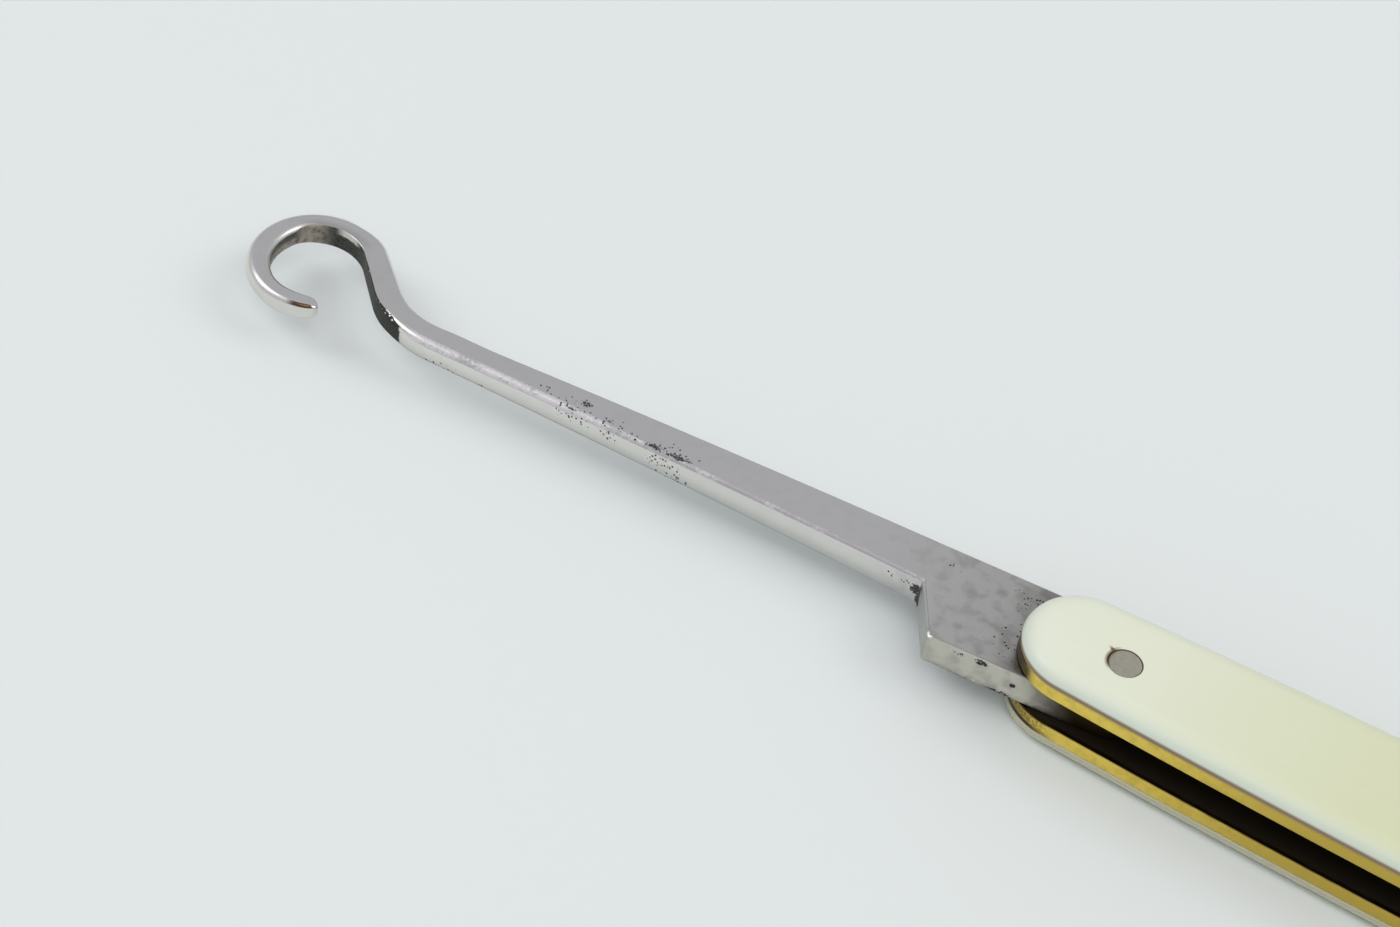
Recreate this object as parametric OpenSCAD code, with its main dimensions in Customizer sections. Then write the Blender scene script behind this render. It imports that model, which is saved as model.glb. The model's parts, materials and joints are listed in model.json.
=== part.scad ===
// Folding button hook: a steel hook that turns on a slip joint between two lined scales.
// Millimetres. The origin is in the middle of the handle's lower face, which the tool lies on.
// X runs along the handle to its tail, Y to the handle's back, Z up through its thickness.
// The sizes are measured from the pivot axis, and from_pivot() moves each piece to the origin.

/* [Handle] */
// Length of the handle
handle_len = 70; // [66:0.5:80]
// Width of the handle at mid-length
handle_mid_w = 8.8; // [8.2:0.1:10.5]
// Radius of the handle's rounded ends
handle_end_r = 3.6; // [3.4:0.05:3.9]
// From the pivot axis to the handle's front end
handle_front = 6.1; // [5.6:0.1:6.6]
// How far the pivot axis lies below the handle's centre line
pivot_drop = 0.5; // [0.3:0.05:0.7]
// Thickness of each scale
scale_t = 1.1; // [0.9:0.05:1.6]
// Share of a scale's thickness that its rounded edge takes
scale_round = 0.82; // [0.5:0.02:0.9]
// How far a scale's rounded edge reaches in over its face
scale_edge_w = 1.35; // [0.8:0.05:1.4]
// Thickness of each liner
liner_t = 0.95; // [0.7:0.05:1.2]

/* [Hook] */
// Thickness of the tang
tang_t = 2.11; // [1.8:0.01:2.6]
// Thickness of the hook at its neck
neck_t = 1.62; // [1.3:0.02:1.76]
// Thickness of the hook at its tip
tip_t = 1.14; // [1.04:0.02:1.3]
// From the pivot axis to the far end of the ring
hook_reach = 58.85; // [55:0.05:60]
// Radius of the ring's centre line
ring_r = 3.58; // [3.3:0.02:3.8]
// Height of the ring's centre above the shank's back
ring_rise = 1.3; // [1.1:0.05:1.6]
// Straight length between the ring and the tip
tip_len = 2.1; // [1.6:0.05:2.4]
// Angle at which the tip turns in from the ring
tip_turn = 5; // [2:1:8]
// Width of the band at the tip
tip_w = 1.1; // [0.95:0.05:1.3]
// Width of the band at the neck
neck_w = 1.56; // [1.4:0.02:1.8]
// Radius of the neck's centre line where it runs into the shank
neck_r = 6.3; // [5:0.1:7]
// Where the band leaves the ring, as an angle from the shank
neck_angle = 43; // [38:1:46]
// From the pivot axis to the line of the shank's back
back_h = 4.8; // [4.6:0.02:5]
// How far the shank bows to its back at mid-length
shank_bow = 0.14; // [0:0.02:0.3]
// Width of the shank at the shoulder
shank_root_w = 3.24; // [2.8:0.02:3.6]
// From the pivot axis to the top of the shoulder
shoulder_x = 12.45; // [11.5:0.05:13.5]
// How far the shoulder slants back to the tang
shoulder_slant = 1.8; // [1:0.1:2.2]
// From the pivot axis to the tang's flats and to its rounded end
tang_r = 2.2; // [2:0.05:2.4]
// Angle between the shank's back and the handle when the hook is open
open_lean = 4.3; // [3:0.1:5.5]
// Edge radius of the band on the ring's outer side
outer_round = 0.5; // [0.3:0.05:0.5]
// Edge radius of the band on the ring's inner side
inner_round = 0.4; // [0.15:0.05:0.45]
// Edge radius along the shank's back
back_round = 0.1; // [0.05:0.05:0.3]
// Edge radius at the shank's root, on its near side
root_break = 0.2; // [0.06:0.02:0.3]
// Length over which the tip is rounded off
nose_len = 0.9; // [0.6:0.05:1.2]
// Thickness left at the tip's end, as a share
nose_blunt = 0.4; // [0.3:0.05:0.8]

/* [Spring] */
// From the pivot axis forward to the nose of the spring
nose_x = 2.6; // [2.2:0.1:3]
// Radius of the spring's boss round its middle pin
boss_r = 2.2; // [2.2:0.1:2.6]
// Depth of the spring's tail, from the handle's centre line to the slot
tail_depth = 1.1; // [0.9:0.1:1.4]
// Length of the spring's deep tail
tail_len = 11; // [9:0.5:12]

/* [Pins] */
// Diameter of the pivot pin
pivot_d = 1.98; // [1.7:0.02:2.2]
// Diameter of the spring's two pins
pin_d = 1.4; // [1.2:0.05:1.45]
// From the pivot axis to the middle pin
mid_pin_x = 27.5; // [25:0.5:31]
// From the handle's tail end to the tail pin
tail_pin_in = 6.2; // [5.4:0.1:7]
// How far a pin's ends lie under the scales' faces
pin_sink = 0.04; // [0.02:0.01:0.08]

/* [Fits] */
// Play on each side of the tang, between the liners
side_play = 0.02; // [0.01:0.01:0.05]
// Radial play of the tang's bore on the pivot pin
bore_play = 0.04; // [0.02:0.01:0.08]
// Play between the spring and the tang's flats
spring_play = 0.03; // [0.02:0.01:0.06]
// Radial room of the pins in the liners and the spring
pin_seat = 0.01; // [0.005:0.005:0.02]
// Radial room of the pins in the scales
scale_gap = 0.06; // [0.03:0.01:0.1]

/* [Hidden] */
$fn = 96;
end_steps = 24;
side_steps = 12;
edge_steps = 6;
tip_steps = 6;
ring_steps = 25;
neck_steps = 10;
shank_steps = 10;
corner_steps = 3;
beyond = 20;

slot_t = tang_t + 2 * side_play;
rear_liner_z = scale_t;
slot_z = rear_liner_z + liner_t;
front_liner_z = slot_z + slot_t;
front_scale_z = front_liner_z + liner_t;
total_t = front_scale_z + scale_t;
mid_z = slot_z + slot_t / 2;

mid_half = handle_mid_w / 2;
end_front_x = handle_end_r - handle_front;
tail_x = handle_len - handle_front;
end_tail_x = tail_x - handle_end_r;
middle_x = (end_front_x + end_tail_x) / 2;
half_run = (end_tail_x - end_front_x) / 2;
side_r = (pow(half_run, 2) / (mid_half - handle_end_r) + handle_end_r + mid_half) / 2;
side_sink = side_r - mid_half;
join_a = atan2(side_sink, -half_run);

// Half the handle's width at a distance along it, away from the rounded ends
function half_w(x) = sqrt(pow(side_r, 2) - pow(x - middle_x, 2)) - side_sink;

function arc(centre, r, from, to, steps) =
    [for (i = [0 : steps - 1])
        let (a = from + (to - from) * i / steps)
        centre + r * [cos(a), sin(a)]];

// Outline of the handle, drawn in by an inset: two end arcs and two long side arcs that run into them
function outline(inset) = concat(
    arc([end_front_x, pivot_drop], handle_end_r - inset, join_a, 360 - join_a, end_steps),
    arc([middle_x, pivot_drop + side_sink], side_r - inset, 360 - join_a, 180 + join_a, side_steps),
    arc([end_tail_x, pivot_drop], handle_end_r - inset, join_a - 180, 180 - join_a, end_steps),
    arc([middle_x, pivot_drop - side_sink], side_r - inset, 180 - join_a, join_a, side_steps));

pivot_at = [0, 0];
mid_pin_at = [mid_pin_x, pivot_drop + half_w(mid_pin_x) - boss_r];
tail_pin_at = [tail_x - tail_pin_in, pivot_drop];

// The hook's centre line, in a frame that lies along the shank's back
ring_sweep = 270 - neck_angle;
ring_side_w = band_w(90 / ring_sweep);
ring_at = [ring_r + ring_side_w / 2 - hook_reach, back_h + ring_rise];
shank_y = back_h - neck_w / 2;
link_dir = [sin(neck_angle), -cos(neck_angle)];
leave_dir = [cos(neck_angle), sin(neck_angle)];
link_len = (ring_at.y + (ring_r + neck_r) * leave_dir.y - shank_y - neck_r) / leave_dir.x;
ring_turn = 90 - neck_angle;
neck_at = ring_at + (ring_r + neck_r) * leave_dir + link_len * link_dir;
shank_run = -shoulder_x - neck_at.x;
root_overlap = 1;

// Width of the band round the ring: it swells quickly from the tip and slowly into the neck
function band_w(f) = tip_w + (neck_w - tip_w) * sin(90 * f);

function blend(from, to, f) = from + (to - from) * f;

function tip_at(back) = ring_at + [0, -ring_r] + (tip_len - back) * [cos(tip_turn), sin(tip_turn)];

// A station holds a point, the direction across to the band's outer side, width, thickness, two edge radii
function tip_stations() = [for (i = [1 : tip_steps - 1])
    let (a = 90 * i / tip_steps, k = sin(a), blunt = blend(nose_blunt, 1, k))
    [tip_at(nose_len * (1 - cos(a))), [sin(tip_turn), -cos(tip_turn)],
        tip_w * k, tip_t * blunt, outer_round * k, inner_round * k]];

function ring_stations() = [for (i = [0 : ring_steps])
    let (f = i / ring_steps, a = -90 - ring_sweep * f)
    [ring_at + ring_r * [cos(a), sin(a)], [cos(a), sin(a)],
        band_w(f), blend(tip_t, neck_t, f), outer_round, inner_round]];

function neck_stations() = [for (i = [0 : neck_steps])
    let (f = i / neck_steps, a = -ring_turn * (1 - f))
    [neck_at + neck_r * [sin(a), -cos(a)], [-sin(a), cos(a)],
        neck_w, neck_t, blend(outer_round, back_round, f), inner_round]];

function shank_station(x, f) =
    let (w = blend(neck_w, shank_root_w, (x - neck_at.x) / shank_run))
    [[x, back_h + 4 * shank_bow * f * (1 - f) - w / 2], [0, 1],
        w, blend(neck_t, tang_t, f), back_round, blend(inner_round, root_break, f)];

// The shank ends inside the tang, so that the two join
function shank_stations() = concat(
    [for (i = [1 : shank_steps])
        let (f = i / shank_steps)
        shank_station(neck_at.x + shank_run * f, f)],
    [shank_station(root_overlap - shoulder_x, 1)]);

function band_stations() = concat(tip_stations(), ring_stations(), neck_stations(), shank_stations());

// A rectangle with rounded corners, its outer pair and inner pair of their own radii
function corner(u, v, r, from) = [for (i = [0 : corner_steps])
    let (a = from + 90 * i / corner_steps)
    [u + r * cos(a), v + r * sin(a)]];

function section(w, t, r_out, r_in) = concat(
    corner(w / 2 - r_out, t / 2 - r_out, r_out, 0),
    corner(r_in - w / 2, t / 2 - r_in, r_in, 90),
    corner(r_in - w / 2, r_in - t / 2, r_in, 180),
    corner(w / 2 - r_out, r_out - t / 2, r_out, 270));

module from_pivot() {
    translate([-middle_x, -pivot_drop, 0])
        children();
}

function station_ring(s) = [for (q = section(s[2], s[3], s[4], s[5]))
    [s[0].x + s[1].x * q.x, s[0].y + s[1].y * q.x, q.y]];

// A closed skin over rings of points, which all have the same count
module skin(rings) {
    count = len(rings[0]);
    last = len(rings) - 1;
    points = [for (ring = rings) each ring];
    sides = [for (i = [0 : last - 1])
        for (j = [0 : count - 1])
            let (k = (j + 1) % count)
            [i * count + j, (i + 1) * count + j, (i + 1) * count + k, i * count + k]];
    first_cap = [for (j = [0 : count - 1]) j];
    last_cap = [for (j = [0 : count - 1]) last * count + count - 1 - j];
    polyhedron(points, concat(sides, [first_cap, last_cap]));
}

module tang_outline() {
    difference() {
        union() {
            rotate(open_lean)
                polygon([
                    [-shoulder_x, back_h],
                    [0, back_h],
                    [0, -tang_r],
                    [shoulder_slant - shoulder_x, -tang_r],
                    [-shoulder_x, back_h - shank_root_w]]);
            circle(tang_r);
        }
        translate([-nose_x, tang_r])
            square(beyond);
    }
}

module hook() {
    color("silver")
        from_pivot()
            difference() {
                union() {
                    translate([0, 0, mid_z])
                        rotate(open_lean)
                            skin([for (s = band_stations()) station_ring(s)]);
                    translate([0, 0, mid_z - tang_t / 2])
                        linear_extrude(tang_t)
                            tang_outline();
                }
                pin_bore(pivot_at, pivot_d, bore_play);
            }
}

module spring_outline() {
    deep_x = tail_x - tail_len;
    leaf_y = tang_r + spring_play;
    intersection() {
        polygon(outline(0));
        union() {
            translate([spring_play - nose_x, leaf_y])
                square(beyond * [4, 1]);
            translate(mid_pin_at)
                circle(boss_r);
            polygon([
                [deep_x - tail_depth - leaf_y, leaf_y],
                [deep_x, -tail_depth + pivot_drop],
                [tail_x, -tail_depth + pivot_drop],
                [tail_x, leaf_y]]);
        }
    }
}

module back_spring() {
    color("lightsteelblue")
        from_pivot()
            difference() {
                translate([0, 0, slot_z])
                    linear_extrude(slot_t)
                        spring_outline();
                pin_bore(mid_pin_at, pin_d, pin_seat);
                pin_bore(tail_pin_at, pin_d, pin_seat);
            }
}

module pin_bore(at, d, room) {
    translate(at)
        cylinder(h = total_t, d = d + 2 * room);
}

module pin_bores(room) {
    pin_bore(pivot_at, pivot_d, room);
    pin_bore(mid_pin_at, pin_d, room);
    pin_bore(tail_pin_at, pin_d, room);
}

module liner(z) {
    from_pivot()
        difference() {
            translate([0, 0, z])
                linear_extrude(liner_t)
                    polygon(outline(0));
            pin_bores(pin_seat);
        }
}

module rear_liner() {
    color("gold")
        liner(rear_liner_z);
}

module front_liner() {
    color("gold")
        liner(front_liner_z);
}

function lifted(points, z) = [for (p = points) [p.x, p.y, z]];

// A scale with its flat outer face up and its inner face at height 0; its edge is a quarter of an ellipse
module scale_blank() {
    edge_h = scale_t * scale_round;
    edge_rings = [for (i = [0 : edge_steps])
        let (a = 90 * i / edge_steps)
        lifted(outline(scale_edge_w * (1 - cos(a))), scale_t - edge_h * (1 - sin(a)))];
    skin(concat([lifted(outline(0), 0)], edge_rings));
}

module rear_scale() {
    color("ivory")
        from_pivot()
            difference() {
                translate([0, 2 * pivot_drop, scale_t])
                    rotate([180, 0, 0])
                        scale_blank();
                pin_bores(scale_gap);
            }
}

module front_scale() {
    color("ivory")
        from_pivot()
            difference() {
                translate([0, 0, front_scale_z])
                    scale_blank();
                pin_bores(scale_gap);
            }
}

module pin(at, d) {
    color("lightgray")
        from_pivot()
            translate([at.x, at.y, pin_sink])
                cylinder(h = total_t - 2 * pin_sink, d = d);
}

module pivot_pin() {
    pin(pivot_at, pivot_d);
}

module middle_pin() {
    pin(mid_pin_at, pin_d);
}

module tail_pin() {
    pin(tail_pin_at, pin_d);
}

hook();
back_spring();
front_liner();
rear_liner();
front_scale();
rear_scale();
pivot_pin();
middle_pin();
tail_pin();
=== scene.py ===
import json
import bpy
import numpy as np
from mathutils import Matrix, Vector
from mathutils.geometry import delaunay_2d_cdt


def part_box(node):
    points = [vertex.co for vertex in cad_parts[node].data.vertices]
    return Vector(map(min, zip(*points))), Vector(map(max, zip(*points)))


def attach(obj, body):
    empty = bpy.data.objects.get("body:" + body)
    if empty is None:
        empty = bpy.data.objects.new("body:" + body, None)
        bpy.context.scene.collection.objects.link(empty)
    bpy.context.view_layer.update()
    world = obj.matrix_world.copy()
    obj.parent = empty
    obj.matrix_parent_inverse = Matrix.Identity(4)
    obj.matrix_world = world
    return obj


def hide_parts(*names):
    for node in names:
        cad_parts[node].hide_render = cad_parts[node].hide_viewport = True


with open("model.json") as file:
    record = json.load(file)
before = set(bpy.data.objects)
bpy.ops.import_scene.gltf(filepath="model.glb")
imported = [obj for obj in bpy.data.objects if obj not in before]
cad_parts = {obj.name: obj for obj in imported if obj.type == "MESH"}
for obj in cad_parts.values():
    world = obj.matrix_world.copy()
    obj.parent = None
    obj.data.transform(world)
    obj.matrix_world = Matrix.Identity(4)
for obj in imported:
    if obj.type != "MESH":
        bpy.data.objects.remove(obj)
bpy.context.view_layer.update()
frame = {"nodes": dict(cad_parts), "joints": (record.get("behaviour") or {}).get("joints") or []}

perMetre = 1000.0                        # shapes are worked out in millimetres
reliefDepth = 0.02                       # of every bump
pivot = np.array(frame["joints"][0]["pos_m"]) * perMetre
print("frame loaded:", ", ".join(sorted(frame["nodes"])))


def levels(node):                        # height of a node's lower and upper face
    low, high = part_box(node)
    return low.z * perMetre, high.z * perMetre


def turned(points, degrees):             # points turned about the origin
    c, s = np.cos(np.radians(degrees)), np.sin(np.radians(degrees))
    return points @ np.array([[c, s], [-s, c]])


def blend(first, last, share):
    return first + (last - first) * share


def ease(share):                         # from 0 to 1 with soft ends
    share = np.clip(share, 0, 1)
    return share * share * (3 - 2 * share)


def easeOver(value, ends):               # the same, as a value goes from one end to the other
    return ease((value - ends[0]) / (ends[1] - ends[0]))


# Runs of an outline. Each gives points in order, anticlockwise round the piece, and outward normals.

# an arc: centre + radius * (cos, sin); taken clockwise it is a hollow, with its normals to the centre
def arcRun(centre, radius, start, end, steps):
    a = np.radians(np.linspace(start, end, steps))
    out = np.column_stack((np.cos(a), np.sin(a)))
    return np.asarray(centre) + radius * out, out * np.sign(end - start)


# a corner rounded by an arc that is tangent to both of its sides
def cornerRun(before, corner, after, radius, steps=9):
    before, corner, after = (np.asarray(p, float) for p in (before, corner, after))
    way = (corner - before) / np.linalg.norm(corner - before)
    onward = (after - corner) / np.linalg.norm(after - corner)
    turn = np.arctan2(way[0] * onward[1] - way[1] * onward[0], way @ onward)
    side = np.sign(turn)
    left = side * np.array([-way[1], way[0]])
    centre = corner - way * radius * np.tan(abs(turn) / 2) + radius * left
    a = np.arctan2(-left[1], -left[0]) + turn * np.linspace(0, 1, steps)
    out = np.column_stack((np.cos(a), np.sin(a)))
    return centre + radius * out, side * out


# a smooth curve through points: the normal is the way along it, turned a quarter to the right
def curveRun(points):
    way = np.gradient(points, axis=0)
    way /= np.linalg.norm(way, axis=1, keepdims=True)
    return points, np.column_stack((way[:, 1], -way[:, 0]))


def joinRuns(*runs):
    return tuple(np.concatenate(parts) for parts in zip(*runs))


# a round hole, taken clockwise so that its wall faces the hole
def holeRun(centre, radius, steps=64):
    points, normals = arcRun(centre, radius, 0, -360, steps + 1)
    return points[:-1], normals[:-1]


# A plate's wall is its outline carried up the thickness. The rows follow a quarter ellipse at each edge,
# inset = width * (1 - cos), drop = height * (1 - sin), and then lips that run in over the flat faces.
# An edge is one radius, or a pair of width and height. Marks are values at the outline's points.
def wallGrid(run, low, high, edgeLow, edgeHigh, lips=(), arcSteps=7, marks=None):
    points, normals = run
    a = np.radians(np.linspace(0, 90, arcSteps))[:, None]
    lip = np.array(lips, float).reshape(-1, 1)
    ones = np.ones(len(points))
    lowEdge, highEdge = (edge if isinstance(edge, tuple) else (edge, edge) for edge in (edgeLow, edgeHigh))
    lowW, lowH, highW, highH = (ones * size for size in lowEdge + highEdge)
    inset = np.concatenate((
        (lowW + lip * ones)[::-1],
        (lowW * (1 - np.cos(a)))[::-1],
        highW * (1 - np.cos(a)),
        highW + lip * ones))
    height = np.concatenate((
        low + 0 * lip * ones,
        (low + lowH * (1 - np.sin(a)))[::-1],
        high - highH * (1 - np.sin(a)),
        high + 0 * lip * ones))
    tilt = np.concatenate((
        0 * lip * ones - np.pi / 2,
        -np.arctan2(lowW * np.sin(a), lowH * np.cos(a))[::-1],
        np.arctan2(highW * np.sin(a), highH * np.cos(a)),
        0 * lip * ones + np.pi / 2))
    grid = np.empty(inset.shape + (3,))
    grid[..., :2] = points - inset[..., None] * normals
    grid[..., 2] = height
    facing = np.empty_like(grid)
    facing[..., :2] = np.cos(tilt)[..., None] * normals
    facing[..., 2] = np.sin(tilt)
    kept = {"rim": np.concatenate((lip[::-1], 0 * a, 0 * a, lip)) * ones, "slope": tilt / (np.pi / 2)}
    for key, value in (marks or {}).items():
        kept[key] = value + 0 * inset
    return grid, facing, kept


# triangles that fill the space between closed loops of points, whose first loop is the outer one
def fillLoops(loops):
    sizes = [len(loop) for loop in loops]
    starts = np.cumsum([0] + sizes[:-1])
    edges = [(start + i, start + (i + 1) % size)
             for start, size in zip(starts, sizes) for i in range(size)]
    flat = [Vector(p) for p in np.concatenate(loops)[:, :2]]
    insideOnly, mergeWithin = 1, 1e-6
    faces, sources = delaunay_2d_cdt(flat, edges, [], insideOnly, mergeWithin)[2:4]
    source = np.array([first[0] for first in sources])
    triangles = source[np.array(faces)]
    owner = np.searchsorted(starts, triangles, side="right")
    inHole = (owner > 1).all(axis=1) & (owner == owner[:, :1]).all(axis=1)
    return triangles[~inHole]


# puts wall grids and their two end faces into one closed mesh; strip pairs points across a long band
def plateMesh(name, walls, strip=0):
    grids = [wall[0] for wall in walls]
    counts = [grid.shape[0] * grid.shape[1] for grid in grids]
    starts = np.cumsum([0] + counts[:-1])
    quads = []
    for grid, start in zip(grids, starts):
        rows, size = grid.shape[:2]
        at = start + np.arange(rows * size).reshape(rows, size)
        on = np.roll(at, -1, axis=1)
        quads.append(np.stack((at[:-1], on[:-1], on[1:], at[1:]), axis=-1).reshape(-1, 4))
    quads = np.concatenate(quads)
    triangles = []
    for row, flip in ((-1, False), (0, True)):
        index = [start + np.arange(grid[row].shape[0]) + (row % grid.shape[0]) * grid.shape[1]
                 for grid, start in zip(grids, starts)]
        loops = [grid[row] for grid in grids]
        if strip:
            outer, inner = index[0][1:strip], index[0][strip:2 * strip - 1][::-1]
            across = np.stack((outer[:-1], outer[1:], inner[1:], inner[:-1]), axis=-1)
            quads = np.concatenate((quads, across[:, ::-1] if flip else across))
            keep = np.r_[2 * strip - 2:len(index[0]), 0, 1]
            index[0], loops[0] = index[0][keep], loops[0][keep]
        filled = np.concatenate(index)[fillLoops(loops)]
        triangles.append(filled[:, ::-1] if flip else filled)
    points = np.concatenate([grid.reshape(-1, 3) for grid in grids])
    facing = np.concatenate([wall[1].reshape(-1, 3) for wall in walls])
    faces = quads.tolist() + np.concatenate(triangles).tolist()
    mesh = bpy.data.meshes.new(name)
    mesh.from_pydata((points / perMetre).tolist(), [], faces)
    mesh.polygons.foreach_set("use_smooth", np.ones(len(faces), bool))
    for key in walls[0][2]:
        values = [wall[2].get(key, np.zeros(wall[0].shape[:2])).reshape(-1) for wall in walls]
        mesh.attributes.new(key, "FLOAT", "POINT").data.foreach_set("value", np.concatenate(values))
    mesh.normals_split_custom_set_from_vertices(facing)
    piece = bpy.data.objects.new(name, mesh)
    bpy.context.scene.collection.objects.link(piece)
    return piece


def place(piece, node, body, material):  # one piece stands for one node of the frame
    piece.data.materials.append(material)
    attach(piece, body)
    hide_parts(node)


# Shader maths: a wire wraps a node's socket, so that expressions on wires add the nodes.
class Wire:
    def __init__(self, tree, socket):
        self.tree = tree
        self.socket = socket

    def node(self, kind, settings=None, inputs=None, output=0):
        made = self.tree.nodes.new(kind)
        for key, value in (settings or {}).items():
            setattr(made, key, value)
        for key, value in (inputs or {}).items():
            if isinstance(value, Wire):
                self.tree.links.new(value.socket, made.inputs[key])
            else:
                made.inputs[key].default_value = value
        return Wire(self.tree, made.outputs[output])

    def math(self, operation, *values):
        return self.node("ShaderNodeMath", {"operation": operation}, dict(enumerate(values)))

    def __add__(self, other):
        return self.math("ADD", self, other)

    def __sub__(self, other):
        return self.math("SUBTRACT", self, other)

    def __rsub__(self, other):
        return self.math("SUBTRACT", other, self)

    def __mul__(self, other):
        return self.math("MULTIPLY", self, other)

    def __truediv__(self, other):
        return self.math("DIVIDE", self, other)

    __radd__ = __add__
    __rmul__ = __mul__

    def power(self, exponent):
        return self.math("POWER", self, exponent)

    def size(self):
        return self.math("ABSOLUTE", self)

    def sign(self):
        return self.math("SIGN", self)

    def most(self, other):
        return self.math("MAXIMUM", self, other)

    def smooth(self, start, end):        # 0 at start, 1 at end, with soft ends
        return self.node("ShaderNodeMapRange", {"interpolation_type": "SMOOTHSTEP"},
                         {"Value": self, "From Min": start, "From Max": end})

    def within(self, rise, fall):        # 1 between two soft ends
        return self.smooth(*rise) * self.smooth(*fall)

    def colour(self, first, second):     # a colour between two, by this share
        return self.node("ShaderNodeMix", {"data_type": "RGBA"}, {0: self, 6: first, 7: second}, 2)

    def moved(self, move=(0, 0, 0), turn=(0, 0, 0), scale=(1, 1, 1)):
        return self.node("ShaderNodeMapping", None,
                         {"Vector": self, "Location": move, "Rotation": turn, "Scale": scale})

    def noise(self, scale, detail=2.0, rough=0.5):
        return self.node("ShaderNodeTexNoise", None,
                         {"Vector": self, "Scale": scale, "Detail": detail, "Roughness": rough})

    # distance to the nearest of many points, and a random share for that point
    def specks(self, scale):
        near = self.node("ShaderNodeTexVoronoi", None, {"Vector": self, "Scale": scale})
        luck = Wire(self.tree, near.socket.node.outputs["Color"])
        return near, luck.axes()[0]

    def axes(self):
        return [self.node("ShaderNodeSeparateXYZ", None, {0: self}, i) for i in range(3)]

    def bump(self, strength):
        return self.node("ShaderNodeBump", None,
                         {"Strength": strength, "Distance": reliefDepth / perMetre, "Height": self})


def rgba(r, g, b):
    return (r, g, b, 1.0)


def layered(colour, *layers):            # colours laid over one another, each by its share
    for share, tint in layers:
        colour = share.colour(colour, tint)
    return colour


class Finish:                            # a material with one shader, and wires to feed it
    def __init__(self, name):
        self.material = bpy.data.materials.new(name)
        self.material.use_nodes = True
        self.tree = self.material.node_tree
        self.shader = self.tree.nodes["Principled BSDF"]
        source = self.tree.nodes.new("ShaderNodeTexCoord")
        self.at = Wire(self.tree, source.outputs["Object"]).moved(scale=(perMetre,) * 3)

    def attribute(self, name):
        return self.at.node("ShaderNodeAttribute", {"attribute_name": name}, None, 2)

    def set(self, **sockets):
        for key, value in sockets.items():
            name = "".join(" " + c if c.isupper() else c for c in key).title()
            if isinstance(value, Wire):
                self.tree.links.new(value.socket, self.shader.inputs[name])
            else:
                self.shader.inputs[name].default_value = value
        return self.material


# The hook: ring, swan neck, shank, shoulder and tang in one forging.
hookSizes = {
    "openLean": 4.3,                     # the shank's back against the handle
    "reach": 58.85,
    "ringR": 3.58,
    "ringRise": 1.3,
    "tipLen": 2.02,
    "tipTurn": 20.0,                     # the ring's arc runs on past its foot by this
    "tipW": 0.95,
    "tipT": 1.14,
    "footW": 1.1,
    "footT": 1.4,
    "ringInset": 0.2,                    # extra width on the inner side of the ring's left
    "insetFrom": (-20.0, 70.0),          # degrees round from the ring's foot
    "insetEnd": (100.0, 165.0),
    "ringCut": 0.2,                      # less width on the inner side of the ring's top and right
    "cutFrom": (75.0, 165.0),
    "sideOut": 0.22,                     # extra width on the outer side of the ring's right
    "sideOutFrom": (188.0, 225.0),
    "neckOut": (0.24, 0.15),             # the same at the neck's start and end
    "neckOutRun": 0.35,                  # share of the neck's arc between the two
    "shankOutRun": 0.12,                 # share of the shank along which it fades out
    "neckW": 1.56,
    "neckT": 1.62,
    "neckR": 6.3,
    "neckAngle": 43.0,
    "backH": 4.8,
    "shankBow": 0.14,
    "rootW": 3.24,
    "shoulderX": 12.45,
    "shoulderSlant": 1.8,
    "tangR": 2.2,
    "tangT": 2.11,
    "notchX": 2.6,
    "bore": 2.06,
    "outerRound": 0.5,
    "innerRound": 0.4,
    "neckInnerRound": 0.09,              # the inner edge is sharper from the ring's top to the neck
    "neckRoundFrom": (128.0, 162.0),     # degrees round from the ring's foot
    "neckRoundEnd": (0.1, 0.55),         # shares of the neck's arc
    "tipOuterRound": 0.3,
    "tipInnerRound": 0.15,
    "tipRoundEnd": 40.0,
    "outerTall": 1.35,                   # height of the outer edge's rounding, by its width
    "backRound": 0.1,
    "rootRound": 0.2,
    "noseLen": 0.75,
    "noseBlunt": 0.4,
    "noseFrom": 2.0,                     # degrees of the nose's quarter round left out at its point
    "shoulderRound": 0.18,
    "footRound": 0.2,
    "boreEdge": 0.03,
    "innerBelow": 0.2,                   # the tang's wall counts as inner where it faces up less than this
    "stations": (24, 150, 50, 90),       # along nose, ring, neck and shank
    "tangSteps": 48,
}


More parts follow.
